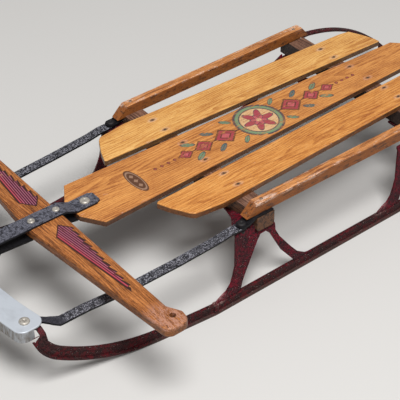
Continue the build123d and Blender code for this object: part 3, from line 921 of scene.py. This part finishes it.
@dataclass(frozen=True)
class Plating:
    """Bolt and screw heads: plated or blacked steel, tarnished in their hollows."""

    name: str
    body: Colour
    tarnish: Colour
    metal: float
    gloss: float
    grit: Noise = Noise((0.8, 0.8, 0.8), 4, 0.65, 6)
    spots: Noise = Noise((0.35, 0.35, 0.35), 3, 0.6, 7)
    spotted: Mark = (0.5, 0.66, 0.6)
    gritty: Mark = (0.6, 0.7, 0.4)
    dulling: float = 0.25

    def make(self) -> bpy.types.Material:
        """Builds the plating's material.

        Returns:
            The material.
        """
        r = Recipe(bpy.data.materials.new(self.name))
        grit, spots = [r.noise(r.place(), kind) for kind in (self.grit, self.spots)]
        colour = r.mix(self.body, self.tarnish, spots.mark(*self.spotted) + grit.mark(*self.gritty))
        return r.surface(colour, self.gloss + grit * self.dulling, grit, 0.08, Metallic=self.metal)


# ------------------------------------------------------------------ modelling helpers


def deselect() -> None:
    """Leaves edit mode and nothing selected."""
    if bpy.context.object is not None and bpy.context.object.mode != "OBJECT":
        bpy.ops.object.mode_set(mode="OBJECT")
    bpy.ops.object.select_all(action="DESELECT")


def only(piece: bpy.types.Object) -> None:
    """Selects one piece alone and makes it active.

    Args:
        piece: The piece.
    """
    deselect()
    piece.select_set(True)
    bpy.context.view_layer.objects.active = piece


def edit_all() -> None:
    """Opens the active piece in edit mode with all of it selected."""
    bpy.ops.object.mode_set(mode="EDIT")
    bpy.ops.mesh.select_all(action="SELECT")


def pick_faces(piece: bpy.types.Object, wanted: Callable[[Vector, Vector], bool]) -> None:
    """Selects the faces that a test accepts, in edit mode.

    Args:
        piece: The piece in edit mode.
        wanted: Test of a face's centre and normal.
    """
    bpy.ops.mesh.select_all(action="DESELECT")
    shell = bmesh.from_edit_mesh(piece.data)
    for face in shell.faces:
        face.select_set(wanted(face.calc_center_median(), face.normal))
    bmesh.update_edit_mesh(piece.data)


def settle(piece: bpy.types.Object, name: str, angle: float = 35.0) -> bpy.types.Object:
    """Merges doubles, turns faces outwards, smooths and puts the piece's place into its mesh.

    Args:
        piece: The piece, in edit or object mode.
        name: The name that it gets.
        angle: Edges sharper than this stay sharp.

    Returns:
        The piece.
    """
    only(piece)
    edit_all()
    bpy.ops.mesh.remove_doubles(threshold=MERGE)
    bpy.ops.mesh.normals_make_consistent(inside=False)
    bpy.ops.object.mode_set(mode="OBJECT")
    bpy.ops.object.transform_apply(location=True, rotation=True, scale=True)
    bpy.ops.object.shade_smooth_by_angle(angle=math.radians(angle))
    piece.name = piece.data.name = name
    deselect()
    return piece


def twin(piece: bpy.types.Object, name: str, shift: Place = (0, 0, 0), turn: float = 0.0) -> bpy.types.Object:
    """Copies a piece with a mesh of its own.

    Args:
        piece: The piece to copy.
        name: Name of the copy.
        shift: How far the copy is moved.
        turn: How far it is turned about its upright axis, in radians.

    Returns:
        The copy.
    """
    copy = piece.copy()
    copy.data = piece.data.copy()
    bpy.context.scene.collection.objects.link(copy)
    copy.name = copy.data.name = name
    copy.rotation_euler = (0, 0, turn)
    copy.location = shift
    only(copy)
    bpy.ops.object.transform_apply(location=True, rotation=True, scale=False)
    deselect()
    return copy


def turned(profile: Profile, place: Place, sides: int = 32) -> bpy.types.Object:
    """Models a round part by extruding and resizing a disc up a profile.

    Args:
        profile: Radius and height of each level in millimetres, from the bottom.
        place: Where the profile's zero height stands, in metres.
        sides: Number of sides.

    Returns:
        The part, in object mode.
    """
    deselect()
    radius, level = profile[0]
    bpy.ops.mesh.primitive_circle_add(vertices=sides, radius=radius * MM, fill_type="NGON",
                                      location=(place[0], place[1], place[2] + level * MM))
    part = bpy.context.object
    edit_all()
    for next_radius, next_level in profile[1:]:
        rise = (0, 0, (next_level - level) * MM)
        bpy.ops.mesh.extrude_region_move(TRANSFORM_OT_translate={"value": rise})
        factor = next_radius / radius
        bpy.ops.transform.resize(value=(factor, factor, 1.0),
                                 center_override=(place[0], place[1], place[2] + next_level * MM))
        radius, level = next_radius, next_level
    bpy.ops.object.mode_set(mode="OBJECT")
    return part


def dress(piece: bpy.types.Object, material: bpy.types.Material, body: str,
          instead_of: Sequence[str] = ()) -> None:
    """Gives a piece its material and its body.

    Args:
        piece: The piece.
        material: Its material.
        body: The body that it rides on.
        instead_of: CAD nodes that it stands for.
    """
    piece.data.materials.clear()
    piece.data.materials.append(material)
    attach(piece, body)
    if instead_of:
        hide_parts(*instead_of)
    LOG.info("piece %s on %s, %d faces", piece.name, body, len(piece.data.polygons))


# ------------------------------------------------------------------ the sled


@dataclass
class Group:
    frame: dict

    def coat(self, material: bpy.types.Material, *names: str) -> None:
        """Gives CAD nodes a material.

        Args:
            material: The material.
            *names: The nodes.
        """
        for name in names:
            node = self.frame["nodes"][name]
            node.data.materials.clear()
            node.data.materials.append(material)
            LOG.info("node %s coated with %s", name, material.name)


@dataclass
class Deck(Group):
    """The three deck slats, the benches and the side rails, with their screws and nails."""

    front_row_x: float = 87.5
    rear_row_x: float = -252.5
    front_row_y: tuple[float, ...] = (27.0, 69.8, 101.5)
    rear_row_y: tuple[float, ...] = (20.9, 57.7, 89.3)
    centre_half: float = 40.0
    centre_edges: tuple[Span, ...] = ((43.4, 0.0304),)
    side_edges: tuple[Span, ...] = ((56.0, 0.026), (116.9, 0.040))
    slat_top: float = 146.0
    bench_top: float = 136.5
    rail_top: float = 153.5
    rail_edges: tuple[Span, ...] = ((161.6, 0.009), (148.2, 0.009))
    # Pale spots on the rail tops: partly wear and partly painted highlight
    rail_rubs_and_highlights: tuple[tuple[float, float, float, float], ...] = (
        (92.0, 159.5, 30.0, 6.0), (20.0, 161.5, 46.0, 3.0), (-262.0, 157.0, 20.0, 8.0))
    nail_x: tuple[float, float] = (90.0, -251.0)
    nail_y: float = 155.0
    nail: Profile = ((2.6, -0.4), (2.6, 0.1), (2.2, 0.5), (1.4, 0.8), (0.5, 0.9))
    nail_sides: int = 20
    screw: Profile = ((2.0, -0.4), (2.0, 0.15), (1.6, 0.42), (1.0, 0.5))
    screw_sides: int = 24
    slot_half: float = 0.4
    slot_deep: float = 0.35
    slot_turns: tuple[float, ...] = (0.3, 1.2, 2.1, 0.7, 1.9, 2.7, 0.1, 1.5, 2.4, 0.9, 0.5, 2.9)

    def build(self) -> None:
        """Dresses the wood and adds its fastenings."""
        self.dress_slats()
        self.dress_bearers()
        self.screws()
        self.nails()

    def dress_slats(self) -> None:
        """Gives the slats their wood, the centre one with its ornament."""
        rows = [(self.front_row_x, y) for y in self.front_row_y] + [(self.rear_row_x, y) for y in self.rear_row_y]
        sides = tuple(row for row in rows if row[1] > self.centre_half)
        middle = tuple(row for row in rows if row[1] < self.centre_half)
        near = Timber("near_slat", pale=shade(240, 176, 100), body=shade(218, 144, 68),
                      dark=shade(156, 84, 34), side=shade(104, 58, 30), deep_grime_and_shade=shade(58, 34, 24),
                      worn=shade(222, 178, 150), top=self.slat_top, heart=96.0, edges=self.side_edges,
                      edge_wear=0.3, stains=sides, seed=1.0)
        far = replace(near, name="far_slat", pale=shade(246, 196, 120), body=shade(228, 166, 88),
                      dark=shade(174, 104, 44), side=shade(84, 50, 30), deep_grime_and_shade=shade(50, 32, 24),
                      worn=shade(220, 180, 152), heart=-60.0, seed=4.0)
        centre = Timber("centre_slat", pale=shade(236, 168, 92), body=shade(206, 134, 68),
                        dark=shade(146, 80, 36), side=shade(76, 46, 32), deep_grime_and_shade=shade(44, 28, 22),
                        worn=shade(214, 162, 136), top=self.slat_top, heart=-14.0, edges=self.centre_edges,
                        edge_wear=0.2, stains=middle, seed=7.0)
        self.coat(near.make(), "slat_left")
        self.coat(far.make(), "slat_right")
        self.coat(centre.make(DeckOrnament()), "slat_centre")

    def dress_bearers(self) -> None:
        """Gives benches and rails their darker wood, with the rear bench's sides in deeper painted shade."""
        bench = Timber("bench_wood", pale=shade(150, 112, 92), body=shade(112, 76, 58),
                       dark=shade(58, 36, 28), side=shade(106, 68, 40), deep_grime_and_shade=shade(32, 20, 15),
                       worn=shade(160, 132, 120), top=self.bench_top, run=Run.CROSSWISE, heart=80.0,
                       contrast=2.2, streaks=0.8, grimy=0.47, seed=10.0, gloss=0.6)
        # The rear bench's sides are painted near black as shade, with more of the deep colour
        shaded = replace(bench, name="rear_bench_shaded_wood", side=shade(52, 32, 24), deep_grime_and_shade=shade(24, 16, 14),
                         heart=-262.0, grimy=0.36, seed=12.0)
        rail = Timber("rail_wood", pale=shade(232, 164, 100), body=shade(196, 126, 68),
                      dark=shade(118, 62, 28), side=shade(142, 78, 24), deep_grime_and_shade=shade(60, 28, 10),
                      worn=shade(236, 204, 184), top=self.rail_top, heart=150.0, contrast=2.0, streaks=0.65,
                      edges=self.rail_edges, edge_wear=0.55, rubs_and_highlights=self.rail_rubs_and_highlights, grimy=0.5, seed=13.0,
                      gloss=0.48)
        self.coat(bench.make(), "bench_front")
        self.coat(shaded.make(), "bench_rear")
        self.coat(rail.make(), "side_rail_left", "side_rail_right")

    def places(self) -> Iterator[tuple[str, float, float]]:
        """Gives each deck screw's name and place.

        Returns:
            Name, x and y in millimetres, one after another.
        """
        for row, row_x, ys in (("front", self.front_row_x, self.front_row_y),
                               ("rear", self.rear_row_x, self.rear_row_y)):
            for number, y in enumerate(ys, 1):
                for side, sign in SIDES:
                    yield f"deck_screw_{row}_{side}_{number}", row_x, sign * y

    def screws(self) -> None:
        """Models one slotted screw head and sets a copy at each place."""
        steel = Plating("screw_steel", shade(104, 80, 64), shade(54, 38, 32), metal=0.4, gloss=0.45).make()
        head = turned(self.screw, (0, 0, self.slat_top * MM), self.screw_sides)
        only(head)
        bpy.ops.object.mode_set(mode="EDIT")
        for edge in (-self.slot_half, self.slot_half):
            bpy.ops.mesh.select_all(action="SELECT")
            bpy.ops.mesh.bisect(plane_co=(0, edge * MM, 0), plane_no=(0, 1, 0))
        pick_faces(head, lambda middle, normal: normal.z > 0.9 and abs(middle.y) < self.slot_half * MM * 0.9)
        bpy.ops.mesh.extrude_region_move(TRANSFORM_OT_translate={"value": (0, 0, -self.slot_deep * MM)})
        settle(head, "deck_screw_pattern")
        for (name, x, y), turn in zip(self.places(), self.slot_turns):
            copy = twin(head, name, (x * MM, y * MM, 0), turn)
            dress(copy, steel, "frame")
        bpy.data.objects.remove(head)

    def nails(self) -> None:
        """Models one domed nail head and sets a copy at each end of each rail."""
        steel = Plating("nail_steel", shade(150, 128, 112), shade(80, 60, 50), metal=0.5, gloss=0.4).make()
        nail = settle(turned(self.nail, (0, 0, self.rail_top * MM), self.nail_sides), "rail_nail_pattern")
        for end, x in zip(("front", "rear"), self.nail_x):
            for side, sign in SIDES:
                copy = twin(nail, f"rail_nail_{end}_{side}", (x * MM, sign * self.nail_y * MM, 0))
                dress(copy, steel, "frame")
        bpy.data.objects.remove(nail)


@dataclass
class Undercarriage(Group):
    """Runners, knees and straps of painted steel.

    The block from ear_low to ear_high, mirrored for the right, holds a rear knee's ear. The plane
    through lean_at, square to lean, is the sloping top of the right rear knee's front leg.
    """

    ear_low: Place = (-233.4, 80.0, 95.0)
    ear_high: Place = (-160.0, 157.5, 130.0)
    lean_at: Place = (-232.0, 0.0, 107.5)
    lean: Place = (0.51, 0.0, 0.86)
    worn_runner: tuple[Place, ...] = ((-145.0, 32.0, 22.0), (-320.0, 24.0, 16.0), (178.0, 26.0, 16.0))
    worn_knee: tuple[Place, ...] = ((-145.0, 36.0, 20.0), (-320.0, 24.0, 16.0), (178.0, 26.0, 16.0))
    plain_x: float = 412.0

    def build(self) -> None:
        """Dresses the steel below the deck."""
        paint = ChippedPaint("runner_paint", body=shade(98, 28, 35), dull=shade(68, 37, 38),
                             dark=shade(24, 13, 15), chip=shade(180, 144, 138), chips=0.65, bloom=0.4,
                             spots=self.worn_runner, seed=2.0)
        knee = ChippedPaint("knee_paint", body=shade(124, 22, 42), dull=shade(78, 28, 36),
                            dark=shade(22, 10, 14), chip=shade(166, 112, 114), chips=0.64, bloom=0.35,
                            grain=0.7, spots=self.worn_knee, seed=5.0)
        strap = BlackedStrap("brace_steel", body=shade(50, 49, 56), fleck=shade(184, 184, 194),
                             dark=shade(15, 14, 17), flecks=0.52, plain_x=self.plain_x, seed=1.0)
        # The rail straps are black steel painted darker still as shade under the rails
        plain = BlackedStrap("rail_strap_shaded_steel", body=shade(24, 23, 27), fleck=shade(60, 58, 66),
                             dark=shade(10, 9, 12), flecks=0.6, seed=3.0)
        self.coat(paint.make(), "runner_left", "runner_right", "runner_front_left", "runner_front_right")
        red = knee.make()
        self.coat(red, "knee_front_left", "knee_front_right")
        for side, sign in SIDES:
            self.trim_rear_knee(side, sign, red)
        self.coat(strap.make(), "brace_left", "brace_right")
        self.coat(plain.make(), "rail_strap_left", "rail_strap_right")

    def trim_rear_knee(self, side: str, sign: int, red: bpy.types.Material) -> None:
        """Copies a rear knee and cuts off the ear ahead of its bench, which only the front knees have.

        The right one's front leg also gets a top that slopes back to the bench.

        Args:
            side: "left" or "right".
            sign: 1 for the left and -1 for the right.
            red: The knee's paint.
        """
        node = f"knee_rear_{side}"
        knee = twin(self.frame["nodes"][node], f"{node}_plain")
        only(knee)
        bpy.ops.mesh.customdata_custom_splitnormals_clear()
        settle(knee, f"{node}_plain")
        middle = [(low + high) / 2 * MM for low, high in zip(self.ear_low, self.ear_high)]
        size = [(high - low) * MM for low, high in zip(self.ear_low, self.ear_high)]
        bpy.ops.mesh.primitive_cube_add(location=(middle[0], sign * middle[1], middle[2]), size=1.0)
        block = bpy.context.object
        edit_all()
        bpy.ops.transform.resize(value=size, center_override=block.location)
        only(knee)
        bpy.ops.object.modifier_add(type="BOOLEAN")
        cut = knee.modifiers[-1]
        cut.operation, cut.object, cut.solver = "DIFFERENCE", block, "EXACT"
        bpy.ops.object.modifier_apply(modifier=cut.name)
        bpy.data.objects.remove(block)
        only(knee)
        if side == "right":
            edit_all()
            bpy.ops.mesh.bisect(plane_co=[at * MM for at in self.lean_at], plane_no=self.lean, use_fill=True,
                                clear_outer=True)
        settle(knee, f"{node}_plain")
        dress(knee, red, "frame", (node,))


@dataclass
class Steering(Group):
    """The steering bar with its yoke straps."""

    bar_top: float = 155.5
    bar_edges: tuple[Span, ...] = ((327.5, 0.0),)
    grips: tuple[tuple[float, float, float, float], ...] = (
        (266.0, 342.0, 34.0, 34.0), (-266.0, 342.0, 34.0, 34.0))

    def build(self) -> None:
        """Dresses the bar and the yoke."""
        wood = Timber("bar_wood", pale=shade(206, 134, 74), body=shade(160, 94, 42), dark=shade(84, 42, 20),
                      side=shade(128, 72, 28), deep_grime_and_shade=shade(60, 32, 18), worn=shade(190, 138, 116),
                      top=self.bar_top, run=Run.CROSSWISE, heart=356.0, heart_up=6.0, rings=0.36, slope=0.03,
                      wander=10.0, side_shade_share=0.6, contrast=2.3, streaks=0.75, edges=self.bar_edges,
                      edge_wear=0.6, paint_hold=0.08, rubs_and_highlights=self.grips, seed=16.0)
        upper = BlackedStrap("yoke_steel", body=shade(84, 84, 93), fleck=shade(128, 129, 142),
                             dark=shade(28, 28, 34), flecks=0.5, seed=5.0)
        lower = BlackedStrap("yoke_shadow_steel", body=shade(24, 23, 26), fleck=shade(48, 46, 52),
                             dark=shade(10, 9, 11), flecks=0.62, seed=7.0)
        self.coat(wood.make(BarWedges()), "steering_bar")
        self.coat(upper.make(), "yoke_upper")
        self.coat(lower.make(), "yoke_lower")


@dataclass
class Bumper(Group):
    """The silver bumper."""

    def build(self) -> None:
        """Dresses the bumper."""
        self.coat(SilverPaint().make(), "bumper")


@dataclass
class Bolts(Group):
    """Dimpled bolts with their nuts, and dimpled rivets.

    Heads are profiles in shares of their radius and height, and the tails in shares of the
    radius and in millimetres.
    """

    head_h: float = 3.0
    head: Profile = ((1.0, 0.0), (1.0, 0.3), (0.95, 0.6), (0.82, 0.85), (0.6, 0.98), (0.36, 1.0),
                     (0.29, 0.93), (0.2, 0.72), (0.06, 0.66))
    head_sides: int = 36
    shank_share: float = 4.0 / 7.5
    tip: Span = (0.8, 0.6)
    nut_h: float = 4.6
    nut_share: float = 1.85
    nut_up: float = 0.9
    nut_ease: float = 0.5
    rivet_r: float = 5.3
    rivet_h: float = 2.2
    rivet_head: Profile = ((1.0, 0.0), (1.0, 0.3), (0.93, 0.62), (0.76, 0.88), (0.5, 1.0), (0.36, 0.97),
                           (0.26, 0.75), (0.08, 0.68))
    rivet_tail: Profile = ((0.5, 0.0), (0.72, 0.4), (0.78, 1.0))
    rivet_shank: float = 2.5
    rivet_x: tuple[float, float] = (331.5, 372.0)
    rivet_seat: float = 158.5
    rivet_bottom: float = 135.5

    def build(self) -> None:
        """Models every bolt in the place of its plain solid, and the rivets."""
        bright = Plating("bolt_plating", shade(190, 184, 174), shade(104, 92, 82), metal=0.4, gloss=0.32).make()
        black = Plating("black_bolt", shade(26, 24, 27), shade(46, 38, 36), metal=0.2, gloss=0.5).make()
        for node, body, material in (
                ("bumper_bolt_left", "bumper_group", bright), ("bumper_bolt_right", "bumper_group", bright),
                ("bumper_bolt_centre", "bumper_group", bright), ("pivot_bolt", "steering", bright),
                ("brace_bolt_left", "frame", black), ("brace_bolt_right", "frame", black)):
            dress(self.bolt(node), material, body, (node,))
        for number, x in enumerate(self.rivet_x, 1):
            rivet = settle(self.rivet(x), f"yoke_rivet_{number}")
            dress(rivet, bright, "steering", ("yoke_rivets",) if number == 1 else ())

    def bolt(self, node: str) -> bpy.types.Object:
        """Models one bolt with its nut.

        Args:
            node: The CAD bolt, which gives its place and size.

        Returns:
            The bolt.
        """
        low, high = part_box(node)
        x, y = (low.x + high.x) / 2, (low.y + high.y) / 2
        radius = (high.x - low.x) / 2 / MM
        seat, bottom = high.z / MM - self.head_h, low.z / MM
        shank = radius * self.shank_share
        profile = [(shank * self.tip[0], bottom - seat), (shank, bottom - seat + self.tip[1]), (shank, 0.0)]
        profile += [(radius * wide, self.head_h * up) for wide, up in self.head]
        body = turned(profile, (x, y, seat * MM), self.head_sides)
        deselect()
        bpy.ops.mesh.primitive_cylinder_add(vertices=6, radius=shank * self.nut_share * MM, depth=self.nut_h * MM,
                                            location=(x, y, (bottom + self.nut_up + self.nut_h / 2) * MM))
        edit_all()
        bpy.ops.mesh.bevel(offset=self.nut_ease * MM, segments=2, affect="EDGES")
        bpy.ops.object.mode_set(mode="OBJECT")
        body.select_set(True)
        bpy.context.view_layer.objects.active = body
        bpy.ops.object.join()
        return settle(body, f"{node}_set", 40.0)

    def rivet(self, x: float) -> bpy.types.Object:
        """Models one rivet through the bar, headed at both ends.

        Args:
            x: Its place along the sled, in millimetres.

        Returns:
            The rivet.
        """
        low = self.rivet_bottom - self.rivet_seat
        profile = [(self.rivet_r * wide, low + up) for wide, up in self.rivet_tail]
        profile += [(self.rivet_shank, profile[-1][1]), (self.rivet_shank, 0.0)]
        profile += [(self.rivet_r * wide, self.rivet_h * up) for wide, up in self.rivet_head]
        return turned(profile, (x * MM, 0, self.rivet_seat * MM))


@dataclass
class Studio:
    """Camera, lights and floor that show the sled as the photograph does, sized in metres."""

    azimuth: float = 141.183
    elevation: float = 38.785
    distance: float = 1.86184
    target: Place = (0.11736, 0.05187, 0.1)
    focal_px: float = 1267.76
    picture_px: float = 400.0
    sensor: float = 36.0
    key_from: Place = (0.95, 1.62, 3.6)
    key_size: float = 1.5
    key_power: float = 158.0
    sky: float = 0.24
    floor_size: float = 14.0
    floor_lit: Colour = shade(150, 148, 145)
    floor_seen: Colour = shade(216, 214, 211)

    def build(self) -> None:
        """Places camera, lamp, sky and floor."""
        bpy.context.scene.view_settings.view_transform = "Standard"
        self.camera()
        self.lamp()
        self.heaven()
        self.floor()

    def camera(self) -> None:
        """Puts the camera at the photograph's viewing angle."""
        turn, rise = math.radians(self.azimuth), math.radians(self.elevation)
        back = Vector((math.sin(turn) * math.cos(rise), -math.cos(turn) * math.cos(rise), math.sin(rise)))
        bpy.ops.object.camera_add(location=Vector(self.target) + back * self.distance)
        camera = bpy.context.object
        camera.rotation_euler = (-back).to_track_quat("-Z", "Y").to_euler()
        camera.data.sensor_width = self.sensor
        camera.data.lens = self.sensor * self.focal_px / self.picture_px
        bpy.context.scene.camera = camera

    def lamp(self) -> None:
        """Adds the soft lamp overhead."""
        bpy.ops.object.light_add(type="AREA", location=self.key_from)
        lamp = bpy.context.object
        lamp.name = "key"
        lamp.data.size = self.key_size
        lamp.data.energy = self.key_power
        lamp.rotation_euler = Vector(self.key_from).to_track_quat("Z", "Y").to_euler()

    def heaven(self) -> None:
        """Sets an even sky, white where the camera looks straight at it."""
        world = bpy.data.worlds.new("sky")
        recipe = Recipe(world)
        seen = recipe.ray("Camera") | recipe.ray("Transmission")
        level = recipe.node("ShaderNodeMapRange", None, {"Value": seen, "To Min": self.sky, "To Max": 1.0})
        light = recipe.node("ShaderNodeBackground", None, {"Color": (1, 1, 1, 1), "Strength": level})
        recipe.end(light, "ShaderNodeOutputWorld")
        bpy.context.scene.world = world

    def floor(self) -> None:
        """Lays the plain pale floor, which lights the sled less than it shows."""
        bpy.ops.mesh.primitive_plane_add(size=self.floor_size)
        plane = bpy.context.object
        plane.name = "floor"
        recipe = Recipe(bpy.data.materials.new("floor_paint"))
        seen = recipe.ray("Camera") | recipe.ray("Glossy") | recipe.ray("Transmission")
        paint = recipe.mix(self.floor_lit, self.floor_seen, seen)
        recipe.end(recipe.node("ShaderNodeBsdfDiffuse", None, {"Color": paint}))
        plane.data.materials.append(recipe.owner)


def main() -> None:
    """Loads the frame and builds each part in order."""
    logging.basicConfig(level=logging.INFO, format="%(message)s")
    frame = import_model()
    Studio().build()
    deselect()
    for part in (Deck(frame), Undercarriage(frame), Steering(frame), Bumper(frame), Bolts(frame)):
        part.build()
        LOG.info("%s done", type(part).__name__)


if __name__ == "__main__":
    main()
